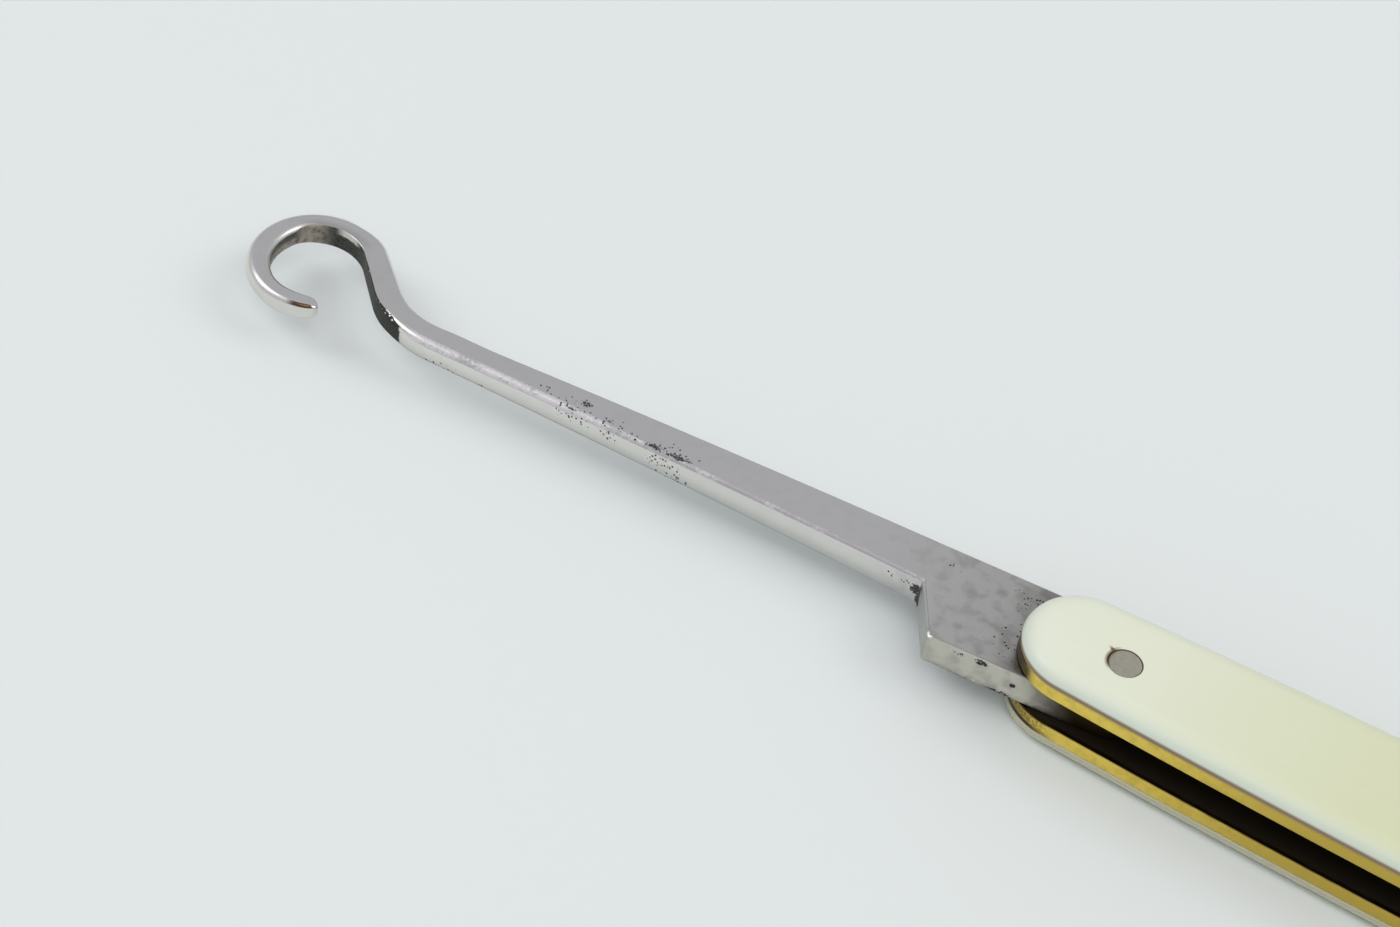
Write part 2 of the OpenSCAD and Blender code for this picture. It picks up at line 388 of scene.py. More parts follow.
# The band's stations from tip to shoulder: centre, direction across to the ring's outer side, width,
# half thickness and the edge radii of the two sides. Arcs are centre + radius * (cos, sin).
def hookStations(s):
    tipCount, ringCount, neckCount, shankCount = s["stations"]
    tipA = np.radians(np.linspace(s["noseFrom"], 90, tipCount))
    ringA = np.linspace(0, 1, ringCount)[1:]
    neckA = np.linspace(0, 1, neckCount)
    shankA = np.linspace(0, 1, shankCount)[1:]
    sweep = 270 - s["neckAngle"]
    quarter = 90 / sweep                 # share of the ring's arc from its foot to its left
    sideW = blend(s["footW"], s["neckW"], np.sin(np.pi / 2 * quarter))
    ringAt = np.array([s["ringR"] + sideW / 2 - s["reach"], s["backH"] + s["ringRise"]])
    leaving = np.radians(s["neckAngle"])
    leave = np.array([np.cos(leaving), np.sin(leaving)])
    link = np.array([leave[1], -leave[0]])
    shankY = s["backH"] - s["neckW"] / 2
    linkLen = (ringAt[1] + (s["ringR"] + s["neckR"]) * leave[1] - shankY - s["neckR"]) / leave[0]
    neckAt = ringAt + (s["ringR"] + s["neckR"]) * leave + linkLen * link

    # the ring's foot is at -90 degrees; the tip's length is counted from there
    turn = np.radians(s["tipTurn"])
    lead = s["ringR"] * turn
    phi = blend(-s["tipTurn"], sweep, ringA)
    inset = s["ringInset"] * (easeOver(phi, s["insetFrom"]) - easeOver(phi, s["insetEnd"]))
    cut = s["ringCut"] * easeOver(phi, s["cutFrom"])
    sideOut = s["sideOut"] * easeOver(phi, s["sideOutFrom"])
    grown = np.clip(phi / sweep, 0, 1)
    pastFoot = np.clip(-np.radians(phi) * s["ringR"] / s["tipLen"], 0, 1)
    ringS = np.column_stack((-np.sin(np.radians(phi)), -np.cos(np.radians(phi))))
    ringC = ringAt + (s["ringR"] + (sideOut + cut - inset) / 2)[:, None] * ringS
    ringW = blend(s["footW"], s["neckW"], np.sin(np.pi / 2 * grown)) + inset + sideOut - cut
    ringW = ringW - (s["footW"] - s["tipW"]) * pastFoot
    ringT = blend(s["footT"], s["neckT"], grown) - (s["footT"] - s["tipT"]) * pastFoot
    rounding = easeOver(phi, (-s["tipTurn"], s["tipRoundEnd"]))
    ringInner = blend(s["tipInnerRound"], s["innerRound"], rounding)
    ringInner = blend(ringInner, s["neckInnerRound"], easeOver(phi, s["neckRoundFrom"]))

    back = s["tipLen"] - lead - s["noseLen"] * (1 - np.cos(tipA))
    toTip = (back + lead) / s["tipLen"]
    nose = np.sin(tipA)
    along, side = np.array([np.cos(turn), np.sin(turn)]), np.array([np.sin(turn), -np.cos(turn)])
    tipC = ringAt + s["ringR"] * side + back[:, None] * along
    tipS = np.tile(side, (len(nose), 1))
    tipW = blend(s["footW"], s["tipW"], toTip) * nose
    tipT = blend(s["footT"], s["tipT"], toTip) * blend(s["noseBlunt"], 1, nose)

    a = np.radians((s["neckAngle"] - 90) * (1 - neckA))
    neckS = np.column_stack((-np.sin(a), np.cos(a)))
    neckOut = blend(*s["neckOut"], np.clip(neckA / s["neckOutRun"], 0, 1))
    neckC = neckAt + (neckOut / 2 - s["neckR"])[:, None] * neckS
    neckT = s["neckT"] + 0 * neckA
    neckInner = blend(s["neckInnerRound"], s["innerRound"], easeOver(neckA, s["neckRoundEnd"]))

    shankW = blend(s["neckW"], s["rootW"], shankA)
    shankX = blend(neckAt[0], -s["shoulderX"], shankA)
    shankOut = s["neckOut"][1] * (1 - ease(shankA / s["shankOutRun"]))
    bow = 4 * s["shankBow"] * shankA * (1 - shankA)      # a parabola, highest halfway
    shankC = np.column_stack((shankX, s["backH"] + bow + (shankOut - shankW) / 2))
    shankS = np.tile([0.0, 1.0], (len(shankA), 1))
    shankT = blend(s["neckT"], s["tangT"], shankA)

    centre = np.concatenate((tipC, ringC, neckC, shankC))
    across = np.concatenate((tipS, ringS, neckS, shankS))
    width = np.concatenate((tipW, ringW, s["neckW"] + neckOut, shankW + shankOut))
    half = np.concatenate((tipT, ringT, neckT, shankT)) / 2
    outer = np.concatenate((
        s["tipOuterRound"] * nose,
        blend(s["tipOuterRound"], s["outerRound"], rounding),
        blend(s["outerRound"], s["backRound"], neckA),
        s["backRound"] + 0 * shankA))
    inner = np.concatenate((
        s["tipInnerRound"] * nose,
        ringInner,
        neckInner,
        blend(s["innerRound"], s["rootRound"], shankA)))
    return centre, across, width[:, None], half, outer, inner


# The whole outline: out along the ring's outer side, round the nose, back along the inner side,
# down the shoulder, along the foot of the tang, round its end and up the notch to the back again.
def makeHook(s, material):
    centre, across, width, half, outer, inner = hookStations(s)
    outSide = centre + across * width / 2
    inSide = centre - across * width / 2
    band = curveRun(np.concatenate((outSide[::-1], inSide)))
    root = inSide[-1]
    foot = np.array([s["shoulderSlant"] - s["shoulderX"], -s["tangR"]])
    footEnd = np.array([0.0, -s["tangR"]])
    floorAt = turned(np.array([[0.0, s["tangR"]], [-s["notchX"], s["tangR"]]]), -s["openLean"])
    lean = np.radians(s["openLean"])
    notchTop = floorAt[1] + np.array([np.tan(lean), 1.0]) * (s["backH"] - floorAt[1][1])
    tang = joinRuns(
        cornerRun(inSide[-2], root, foot, s["shoulderRound"]),
        cornerRun(root, foot, footEnd, s["footRound"]),
        arcRun((0, 0), s["tangR"], -90, 90 - s["openLean"], s["tangSteps"]),
        cornerRun(floorAt[0], floorAt[1], notchTop, s["footRound"]),
        cornerRun(floorAt[1], notchTop, outSide[-1], s["footRound"]))
    count = len(half)
    band = (band[0][:2 * count - 1], band[1][:2 * count - 1])
    tangHalf = s["tangT"] / 2 * np.ones(len(tang[0]))
    tangEdge = s["rootRound"] + 0 * tangHalf
    edge = (np.concatenate((outer[::-1], inner[:-1], tangEdge)),
            np.concatenate((outer[::-1] * s["outerTall"], inner[:-1], tangEdge)))
    thick = np.concatenate((half[::-1], half[:-1], tangHalf))
    run = joinRuns(band, tang)
    run = (turned(run[0], s["openLean"]) + pivot[:2], turned(run[1], s["openLean"]))
    hole = holeRun(pivot[:2], s["bore"] / 2)
    tangInner = np.where(tang[1][:, 1] < s["innerBelow"], 1.0, 0.0)
    marks = {"inner": np.concatenate((0 * half, 0 * half[1:] + 1, tangInner))}
    low, high = pivot[2] - s["tangT"] / 2, pivot[2] + s["tangT"] / 2
    walls = [
        wallGrid(run, pivot[2] - thick, pivot[2] + thick, edge, edge, marks=marks),
        wallGrid(hole, low, high, s["boreEdge"], s["boreEdge"])]
    piece = plateMesh("hook_forged", walls, strip=count)
    place(piece, "hook", "hook_arm", material)


# The handle's outline: two end arcs and two long side arcs that run into them.
handleSizes = {
    "endR": 3.6,
    "scaleEdge": (1.35, 0.902),          # width and height of a scale's rounded outer edge
    "scaleFoot": 0.03,
    "linerEdge": 0.16,
    "linerLips": (0.15, 0.4, 0.9),       # rows that run in over a liner's faces
    "pinEdge": 0.07,
    "scaleHole": (0.03, 0.03),           # clearance round a pin, and the hole's edge
    "metalHole": (0.01, 0.02),
    "endSteps": 97,
    "sideSteps": 81,
    "pinSteps": 73,
    "scaleSteps": 13,                    # rows round a scale's edge
}
lowEnd, highEnd = (np.array(corner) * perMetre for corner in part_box("front_liner"))
halfWide = (highEnd[1] - lowEnd[1]) / 2
endX = (highEnd[0] - lowEnd[0]) / 2 - handleSizes["endR"]
sideR = (endX ** 2 / (halfWide - handleSizes["endR"]) + handleSizes["endR"] + halfWide) / 2
sideSink = sideR - halfWide
joinA = np.degrees(np.arctan2(sideSink, -endX))


def handleRun():
    endR, endSteps, sideSteps = (handleSizes[key] for key in ("endR", "endSteps", "sideSteps"))
    runs = [
        arcRun((-endX, 0), endR, joinA, 360 - joinA, endSteps),
        arcRun((0, sideSink), sideR, 360 - joinA, 180 + joinA, sideSteps),
        arcRun((endX, 0), endR, joinA - 180, 180 - joinA, endSteps),
        arcRun((0, -sideSink), sideR, 180 - joinA, joinA, sideSteps)]
    return joinRuns(*[(points[:-1], normals[:-1]) for points, normals in runs])


def pinSpot(node):                       # a pin's centre and radius
    low, high = (np.array(corner)[:2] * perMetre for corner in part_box(node))
    return (low + high) / 2, (high[0] - low[0]) / 2


pinNodes = ["pivot_pin", "middle_pin", "tail_pin"]


def pinHoles(low, high, clearance, edge):
    return [wallGrid(holeRun(spot, radius + clearance), low, high, edge, edge)
            for spot, radius in map(pinSpot, pinNodes)]


def makeLiner(node, material):
    low, high = levels(node)
    edge = handleSizes["linerEdge"]
    walls = [wallGrid(handleRun(), low, high, edge, edge, lips=handleSizes["linerLips"])]
    piece = plateMesh(node + "_sheet", walls + pinHoles(low, high, *handleSizes["metalHole"]))
    place(piece, node, "handle", material)


def makeScale(node, edges, material):    # edges: roundings of its lower and its upper edge
    low, high = levels(node)
    walls = [wallGrid(handleRun(), low, high, *edges, arcSteps=handleSizes["scaleSteps"])]
    piece = plateMesh(node + "_slab", walls + pinHoles(low, high, *handleSizes["scaleHole"]))
    place(piece, node, "handle", material)


def makePin(node, material):
    low, high = levels(node)
    spot, radius = pinSpot(node)
    points, normals = arcRun(spot, radius, 0, 360, handleSizes["pinSteps"])
    edge = handleSizes["pinEdge"]
    piece = plateMesh(node + "_rivet", [wallGrid((points[:-1], normals[:-1]), low, high, edge, edge)])
    place(piece, node, "handle", material)


# The back spring: a leaf under the handle's back, with a boss at the middle pin and a deep tail.
springSizes = {
    "noseGap": 2.57,                     # from the pivot forward to the nose
    "leafGap": 2.23,                     # from the pivot up to the leaf
    "bossR": 2.2,
    "bossEase": 3.0,                     # degrees left out of the boss where it runs into the leaf
    "tailLen": 11.0,
    "tailDepth": 1.1,
    "edge": 0.06,
    "corner": 0.15,
    "tailWay": (0.3, 1.0),               # the way the outline goes on from the tail's lower corner
    "tailEase": 4.0,                     # degrees left out of the end's arc after that corner
    "noseWay": (1.0, 0.05),              # back from the nose's upper corner
    "backEase": 0.02,
    "bossSteps": 40,
    "backSteps": 60,
}


def makeSpring(s, material):
    low, high = levels("back_spring")
    noseX = pivot[0] - s["noseGap"]
    leafY = pivot[1] + s["leafGap"]
    noseTop = np.sqrt(sideR ** 2 - noseX ** 2) - sideSink
    bossAt = pinSpot("middle_pin")[0]
    bossTurn = np.degrees(np.arcsin((bossAt[1] - leafY) / s["bossR"]))
    bossHalf = s["bossR"] * np.cos(np.radians(bossTurn))
    slope = np.radians(90 - bossTurn)
    down, up = np.array([np.cos(slope), -np.sin(slope)]), np.array([np.cos(slope), np.sin(slope)])
    bossIn, bossOut = bossAt + (-bossHalf, leafY - bossAt[1]), bossAt + (bossHalf, leafY - bossAt[1])
    deepX = endX + handleSizes["endR"] - s["tailLen"]
    deep = np.array([deepX, -s["tailDepth"]])
    step = np.array([deepX - s["tailDepth"] - s["leafGap"], leafY])
    tailTurn = np.degrees(np.arcsin(s["tailDepth"] / handleSizes["endR"]))
    tailEnd = np.array([endX + handleSizes["endR"] * np.cos(np.radians(tailTurn)), -s["tailDepth"]])
    nose, noseFoot = np.array([noseX, noseTop]), np.array([noseX, leafY])
    backEnd = np.degrees(np.arccos((noseX + 2 * s["corner"]) / sideR))
    bossFrom, bossTo = 180 + bossTurn + s["bossEase"], 360 - bossTurn - s["bossEase"]
    steps = s["backSteps"]
    run = joinRuns(
        cornerRun(nose, noseFoot, bossIn, s["corner"]),
        cornerRun(noseFoot, bossIn, bossIn + down, s["edge"]),
        arcRun(bossAt, s["bossR"], bossFrom, bossTo, s["bossSteps"]),
        cornerRun(bossOut - up, bossOut, step, s["edge"]),
        cornerRun(bossOut, step, deep, s["corner"]),
        cornerRun(step, deep, tailEnd, s["corner"]),
        cornerRun(deep, tailEnd, tailEnd + s["tailWay"], s["corner"]),
        arcRun((endX, 0), handleSizes["endR"], s["tailEase"] - tailTurn, 180 - joinA, steps),
        arcRun((0, -sideSink), sideR, 180 - joinA + s["backEase"], backEnd, steps),
        cornerRun(nose + s["noseWay"], nose, noseFoot, s["corner"]))
    holes = pinHoles(low, high, *handleSizes["metalHole"])[1:]
    piece = plateMesh("spring_leaf", [wallGrid(run, low, high, s["edge"], s["edge"])] + holes)
    place(piece, "back_spring", "handle", material)


# Polished steel. Places are along the shank and across it, from the pivot, in millimetres.
# A pit spot is its place along and across, half length, half width and how dense its pits are.
# A pair gives where a share is 0 and where it is 1; two pairs give where it rises and where it falls.
# Pairs named Above or Below are across, those named Up are heights, and the others are along.
steelLook = {
    "flat": rgba(0.67, 0.672, 0.687),
    "wall": rgba(0.79, 0.77, 0.735),
    "wallFoot": rgba(0.36, 0.365, 0.35),
    "tang": rgba(0.56, 0.555, 0.555),
    "tangWall": rgba(0.60, 0.58, 0.51),
    "worn": rgba(0.34, 0.335, 0.32),
    "shoulderFace": rgba(0.48, 0.50, 0.49),
    "rubbed": rgba(0.67, 0.65, 0.68),
    "scuffed": rgba(0.42, 0.40, 0.43),
    "rubFoot": rgba(0.52, 0.49, 0.53),
    "soot": rgba(0.024, 0.026, 0.021),
    "sootGrey": rgba(0.085, 0.088, 0.078),
    "rust": rgba(0.38, 0.34, 0.29),
    "brown": rgba(0.12, 0.07, 0.04),
    # white of the painted glints
    "spark": rgba(0.97, 0.97, 0.97),
    "pit": rgba(0.030, 0.029, 0.034),
    # dark of the painted shade in the slot
    "slot": rgba(0.03, 0.02, 0.008),
    "roughness": 0.14,
    "sootEnd": (-46.85, -47.05),         # the dark inside of ring and neck ends here
    "ringSoot": ((-57.0, -56.2), (-52.6, -54.0)),
    "neckSoot": ((-52.6, -51.4), (-47.6, -48.6)),
    "sootOver": 0.3,                     # how far it goes over the edge in those two places
    "leftFrom": (-55.5, -56.5),          # the ring's left
    "leftBelow": (8.3, 7.6),
    "cleanEdge": ((-55.0, -54.3), (-52.8, -53.5)),
    "cleanAbove": (8.0, 8.5),
    "cleanUp": (0.3, 0.48),
    "brownFrom": (-54.2, -55.4),
    "brownUp": (-0.1, 0.2),
    "neckFrom": (-51.5, -49.5),
    "dotsUp": (0.57, 0.66),
    "sparks": ((-50.2, -48.2), (-46.6, -47.4)),
    "rustDots": ((-52.6, -51.8), (-49.4, -50.2)),
    "tipLine": ((-54.5, -53.8), (-52.4, -52.7)),
    "tipLineBelow": (4.0, 3.5),
    "ringFrom": (-53.5, -54.5),
    "wornAbove": (8.2, 9.2),
    "outerDimBelow": (4.2, 3.2),
    "shankFrom": (-47.8, -45.5),
    "wallDim": (-45.0, -25.0),
    "rubWiden": (-37.0, -27.0),
    "tangFrom": (-17.0, -6.0),
    "shoulderFrom": (-12.5, -12.1),
    "shoulderEnd": (-10.9, -10.6),
    "tangWallFrom": (-10.9, -10.5),
    "slotShade": (-8.0, -4.5),
    "slotFrom": (-5.3, -1.5),            # dark where the tang goes into the slot
    # painted glints on the tang's foot corner and on the tip's nose
    "footSpark": (-10.6, -2.0, 0.3, 0.3, 1.0),
    "tipSpark": (-52.8, 2.75, 0.2, 0.2, 1.4),
    "pitSpots": [                        # on the flats and the near edge: along and across
        (-37.3, 3.75, 0.9, 0.35, 0.30),
        (-35.0, 3.85, 0.55, 0.45, 0.95),
        (-35.7, 2.95, 1.1, 0.4, 0.90),
        (-35.6, 3.4, 2.6, 0.9, 0.16),
        (-33.1, 3.1, 0.55, 0.6, 0.55),
        (-32.6, 3.3, 1.5, 0.5, 0.20),
        (-31.4, 2.9, 0.5, 0.3, 0.60),
        (-30.1, 2.8, 0.75, 0.35, 1.10),
        (-28.5, 2.8, 1.3, 0.35, 1.00),
        (-28.6, 3.1, 2.2, 0.75, 0.28),
        (-11.4, 3.5, 0.25, 0.25, 0.70),
        (-10.7, 3.3, 0.25, 0.25, 0.60),
        (-6.6, 1.2, 2.4, 3.8, 0.10),
        (-6.0, 3.3, 1.4, 1.0, 0.26),
        (-5.6, 0.0, 1.1, 2.0, 0.20),
    ],
    "flatStains": [
        (-35.0, 3.85, 0.5, 0.45, 0.44),
        (-35.7, 2.95, 1.0, 0.32, 0.48),
        (-30.1, 2.8, 0.75, 0.35, 0.50),
        (-28.5, 2.8, 1.2, 0.3, 0.47),
    ],
    "wallPits": [                        # on the walls: along and up
        (-35.4, 0.35, 1.6, 0.55, 0.42),
        (-33.0, 0.3, 0.8, 0.6, 0.40),
        (-29.2, 0.0, 1.9, 0.9, 0.32),
        (-28.5, -0.5, 1.3, 0.4, 0.45),
        (-13.9, 0.3, 0.9, 0.35, 0.50),
        (-44.0, -0.5, 3.5, 0.35, 0.20),
    ],
    "wallStains": [
        (-12.65, 0.05, 0.6, 0.7, 0.52),
        (-12.4, -0.55, 0.35, 0.7, 0.52),
        (-8.7, 0.75, 0.6, 0.3, 0.38),
        (-7.3, 0.8, 0.65, 0.35, 0.46),
        (-5.25, 0.1, 0.28, 0.28, 0.60),
        (-5.9, -0.95, 1.3, 0.35, 0.46),
        (-8.3, -1.0, 1.6, 0.25, 0.40),
    ],
}


def patch(x, y, spot):                   # its density at the middle of an oval spot, 0 at its rim
    cx, cy, rx, ry, density = spot
    return (((x - cx) / rx).power(2) + ((y - cy) / ry).power(2)).smooth(1.0, 0.0) * density


def pitShare(x, y, spots):
    share = patch(x, y, spots[0])
    for spot in spots[1:]:
        share = share.most(patch(x, y, spot))
    return share


def hookSteel(s):
    finish = Finish("polished steel")
    lean = -np.radians(hookSizes["openLean"])
    back = turned(pivot[None, :2], -hookSizes["openLean"])[0]
    along = finish.at.moved(move=(-back[0], -back[1], -pivot[2]), turn=(0, 0, lean))
    x, y, z = along.axes()
    inner, slope = finish.attribute("inner"), finish.attribute("slope")
    outer = 1 - inner
    steep = slope.size()                 # 0 on the walls, 1 on the flats
    wall = steep.smooth(0.75, 0.35)
    flat = 1 - wall
    cloudy = along.noise(1.1, 3.0)
    hairs = along.moved(scale=(9.0, 0.35, 0.35)).noise(2.0, 3.0)
    mottle = along.noise(2.6, 5.0, 0.65)
    clumps = along.noise(6.5, 4.0, 0.65)
    fine = along.noise(10.0, 4.0, 0.7)
    near, luck = along.specks(6.0)
    onTang = x.smooth(*s["tangFrom"])
    pastShoulder = x.smooth(*s["shoulderFrom"])
    tangWall = wall * (inner * x.smooth(*s["tangWallFrom"]) + outer * onTang)
    shoulder = inner * steep.smooth(0.97, 0.6) * pastShoulder * (1 - x.smooth(*s["shoulderEnd"]))

    # dark, unpolished inside of ring and neck: brown on the ring, black on the neck
    sootReach = (x + mottle * 0.9).smooth(*s["sootEnd"])
    overEdge = (x.within(*s["ringSoot"]) + x.within(*s["neckSoot"])) * s["sootOver"]
    onLeft = y.smooth(*s["leftBelow"]) * x.smooth(*s["leftFrom"])
    soot = inner * (steep - overEdge + onLeft * 0.25).smooth(0.62, 0.40) * sootReach
    cleanEdge = x.within(*s["cleanEdge"]) * y.smooth(*s["cleanAbove"])
    cleanEdge = cleanEdge * (z + (mottle - 0.5) * 0.3).smooth(*s["cleanUp"])
    soot = soot * (1 - cleanEdge * 0.9)
    brown = (x + mottle * 1.2).smooth(*s["brownFrom"]) * (mottle.smooth(0.3, 0.6) * 0.8 + 0.2)
    # painted reflection: the soot is kept black, not rust, just under the glint on the ring's left
    brown = brown * (1 - onLeft * z.smooth(*s["brownUp"]) * 0.85)
    greyed = clumps.smooth(0.38, 0.66) * (1 - x.smooth(*s["neckFrom"]) * 0.75)
    sootColour = layered(s["soot"], (greyed, s["sootGrey"]), (brown, s["rust"]))

    # flecks of bare steel along the upper inner edge, painted white as glints, rust dots among them, and
    # painted glints on the foot's corner and the tip
    dots = inner * z.smooth(*s["dotsUp"]) * steep.smooth(0.98, 0.88) * near.smooth(0.5, 0.34)
    sparks = dots * x.within(*s["sparks"]) * (0.5 - luck).smooth(0.0, 0.05)
    rustDots = dots * x.within(*s["rustDots"]) * (luck - 0.7).smooth(0.0, 0.05)
    cornerGlints = patch(x, y, s["footSpark"]) + patch(x, y, s["tipSpark"])
    cornerGlints = cornerGlints * slope.within((0.2, 0.5), (0.95, 0.8))

    # a brown line on the outer edge of the tip
    tipLine = outer * (slope + (mottle - 0.5) * 0.2).smooth(0.22, 0.34) * slope.smooth(0.86, 0.72)
    tipLine = tipLine * x.within(*s["tipLine"]) * y.smooth(*s["tipLineBelow"])

    # the near edge of the shank, rubbed pale in ragged strokes, with a dull strip under it
    strokes = along.moved(scale=(2.6, 4.0, 4.0), turn=(0, 0, 0.4)).noise(1.9, 5.0, 0.7)
    patches = along.noise(0.55, 2.0)
    farther = x.smooth(*s["rubWiden"])
    ragged = slope + (strokes - 0.5) * (0.45 + farther * 0.5)
    ragged = ragged + inner.smooth(0.98, 0.80) * 0.6 + farther * 0.15
    onShank = inner * x.smooth(*s["shankFrom"]) * (1 - pastShoulder)
    rubbed = onShank * slope.smooth(0.05, 0.13) * ragged.smooth(1.09, 1.0)
    bright = (strokes + patches * 0.6 + 0.08 - farther * 0.18).smooth(0.68, 0.92)
    rubColour = slope.smooth(0.12, 0.24).colour(s["rubFoot"], bright.colour(s["scuffed"], s["rubbed"]))

    # pits: scattered dots, some of them chosen by the density of their place, and stains with ragged rims
    density = pitShare(x, y, s["pitSpots"]) * flat + pitShare(x, z, s["wallPits"]) * wall * inner
    density = density * (0.45 + clumps.smooth(0.35, 0.62))
    pits = (density - luck).smooth(0.0, 0.05) * near.smooth(0.52, 0.36)
    wallStains = (clumps + pitShare(x, z, s["wallStains"]) * wall * inner).smooth(0.84, 0.92)
    flatStains = (fine + pitShare(x, y, s["flatStains"]) * flat).smooth(0.86, 0.93)
    pits = pits.most(wallStains.most(flatStains))

    # painted shade: the tang's wall near black where it goes into the slot, and its top darker towards the
    # scales
    inSlot = (x + z * 0.5).smooth(*s["slotFrom"]) * wall
    shadowed = x.smooth(*s["slotShade"]) * flat * 0.4
    # painted shade: the walls darker down towards their foot, a painted reflection of the shadowed floor,
    # a little darker towards the handle, and the ring's outer wall darker on its lower rounding and near
    # the tip
    lower = z.smooth(0.3, -0.9) * 0.5 + slope.smooth(0.05, -0.25) * 0.5
    outerShade = slope.smooth(-0.2, -0.5) * 0.6 + y.smooth(*s["outerDimBelow"]) * 0.12
    darker = inner * (lower + x.smooth(*s["wallDim"]) * 0.12) + outer * outerShade
    colour = layered(
        wall.colour(s["flat"], darker.colour(s["wall"], s["wallFoot"])),
        (onTang, s["tang"]),
        # painted shade: the tang's near edges dimmed so that they show no highlight
        (inner * pastShoulder * steep.smooth(0.995, 0.9), s["worn"]),
        (shoulder, s["shoulderFace"]),
        (tangWall, s["tangWall"]),
        # painted shade, in dirty blotches, along the foot of the tang's wall
        (tangWall * inner * z.smooth(-0.4, -1.0) * mottle.smooth(0.35, 0.6), s["worn"]),
        # cloudy wear, mostly on the tang
        (cloudy.smooth(0.42, 0.72) * (0.06 + onTang * 0.6), s["worn"]),
        # darker on the ring's top flat towards its inner edge
        (inner.smooth(0.2, 1.0) * y.smooth(*s["wornAbove"]) * flat * 0.4, s["worn"]),
        (rubbed, rubColour),
        (soot, sootColour),
        (rustDots, s["rust"]),
        (sparks, s["spark"]),
        (tipLine, s["brown"]),
        (cornerGlints, s["spark"]),
        # painted shade at the slot
        (inSlot + shadowed, s["slot"]),
        (pits, s["pit"]))
    ringEdge = slope.within((0.1, 0.3), (0.98, 0.8)) * x.smooth(*s["ringFrom"]) * 0.14
    roughness = (s["roughness"] + ringEdge + pastShoulder * (0.1 + steep.smooth(0.99, 0.9) * 0.22)
                 + rubbed * 0.26 + soot * 0.45 + pits * 0.4 + hairs * 0.05)
    relief = hairs * 0.12 + rubbed * strokes * 0.5 + soot * mottle * 0.5 - pits
    return finish.set(baseColor=colour, roughness=roughness, normal=relief.bump(0.3),
                      metallic=1.0 - pits * 0.8 - soot * 0.5 - rubbed * 0.55)


springLook = {"tint": rgba(0.50, 0.49, 0.47), "stain": rgba(0.16, 0.13, 0.10)}


def springSteel(s):
    finish = Finish("ground steel")
    drawn = finish.at.moved(scale=(0.08, 6.0, 6.0)).noise(1.5, 3.0)
    stain = finish.at.moved(scale=(0.35, 1.0, 1.0)).noise(0.9, 5.0, 0.6).smooth(0.55, 0.8) * 0.7
    return finish.set(baseColor=stain.colour(s["tint"], s["stain"]), metallic=1.0,
                      roughness=0.28 + drawn * 0.12 + stain * 0.2, normal=drawn.bump(0.2))


# Brass: satin walls, tan along the scales, dark along the slot, dark brown at the front with painted shade
# and some dirt, near black on its faces with dirt and painted shade. The lower liner is olive and speckled
# there, with a dark line along its scale.
brassLook = {
    "wall": rgba(0.57, 0.42, 0.08),
    "bright": rgba(0.85, 0.65, 0.13),
    "worn": rgba(0.56, 0.42, 0.08),
    "tan": rgba(0.42, 0.29, 0.12),
    "olive": rgba(0.20, 0.155, 0.055),
    "brown": rgba(0.05, 0.034, 0.018),
    "grime": rgba(0.02, 0.0135, 0.006),
    "brightFrom": (-14.0, -29.0),
    "dimFrom": (-30.0, -32.2),
    "frontFrom": (-31.3, -32.4),
    "lowerFrom": (0.8, -0.8),            # from the middle of the thickness
    "lineUp": (0.42, 0.26),              # from the lower liner's lower face
}


def linerBrass(s):
    finish = Finish("worn brass")
    rim, slope = finish.attribute("rim"), finish.attribute("slope")
    x, _, z = finish.at.axes()
    up = z - pivot[2]
    toScale = slope * up.sign()
    mottle = finish.at.noise(1.3, 4.0)
    fine = finish.at.noise(7.0, 3.0, 0.6)
    # painted shade, with some dirt, at the front end
    front = (x + z * 0.2 + mottle * 0.9).smooth(*s["frontFrom"])
    lower = up.smooth(*s["lowerFrom"])
    dim = (x + mottle * 0.9).smooth(*s["dimFrom"]) * lower
    overScale = z - levels("rear_liner")[0]
    frontLine = dim * (overScale + (fine - 0.5) * 0.3).smooth(*s["lineUp"])
    # dirt and painted shade: the liners' faces near black, which shows as the dark inside of the slot
    grime = (rim + mottle * 0.3 - 0.15).smooth(0.03, 0.35)
    slotEdge = (mottle * 0.2 - toScale).smooth(0.4, 0.9)
    colour = layered(
        x.smooth(*s["brightFrom"]).colour(s["wall"], s["bright"]),
        # mottled wear
        (mottle.smooth(0.4, 0.75) * 0.6, s["worn"]),
        (toScale.smooth(0.2, 0.75) * 0.9, s["tan"]),
        (dim * (0.2 + fine.smooth(0.4, 0.6) * 0.75), s["olive"]),
        (slotEdge + frontLine * 0.9 + front * (0.95 - lower * 0.55), s["brown"]),
        (grime, s["grime"]))
    return finish.set(baseColor=colour, metallic=1.0 - grime * 0.4,
                      roughness=0.34 + mottle * 0.06 + grime * 0.3)


# Cream scales: paler and cooler towards the front, yellower towards the tail, with faint long grain and a
# brown crack beside the pivot pin; a painted reflection bluish grey round the edge, painted shade on the
# lower scale's edge and by the pivot pin.
creamLook = {
    "pale": rgba(0.795, 0.83, 0.70),
    "warm": rgba(0.69, 0.715, 0.46),
    # bluish grey of a painted reflection round the edge
    "edge": rgba(0.64, 0.71, 0.63),
    "foot": rgba(0.25, 0.17, 0.10),
    # tone of the painted shade on the lower scale's edge
    "dull": rgba(0.52, 0.505, 0.36),
    "crack": rgba(0.16, 0.09, 0.035),
    "warmFrom": (-36.0, -8.0),
    "crackFrom": 152.0,                  # degrees round the pin
    "gapFrom": 180.0,
}


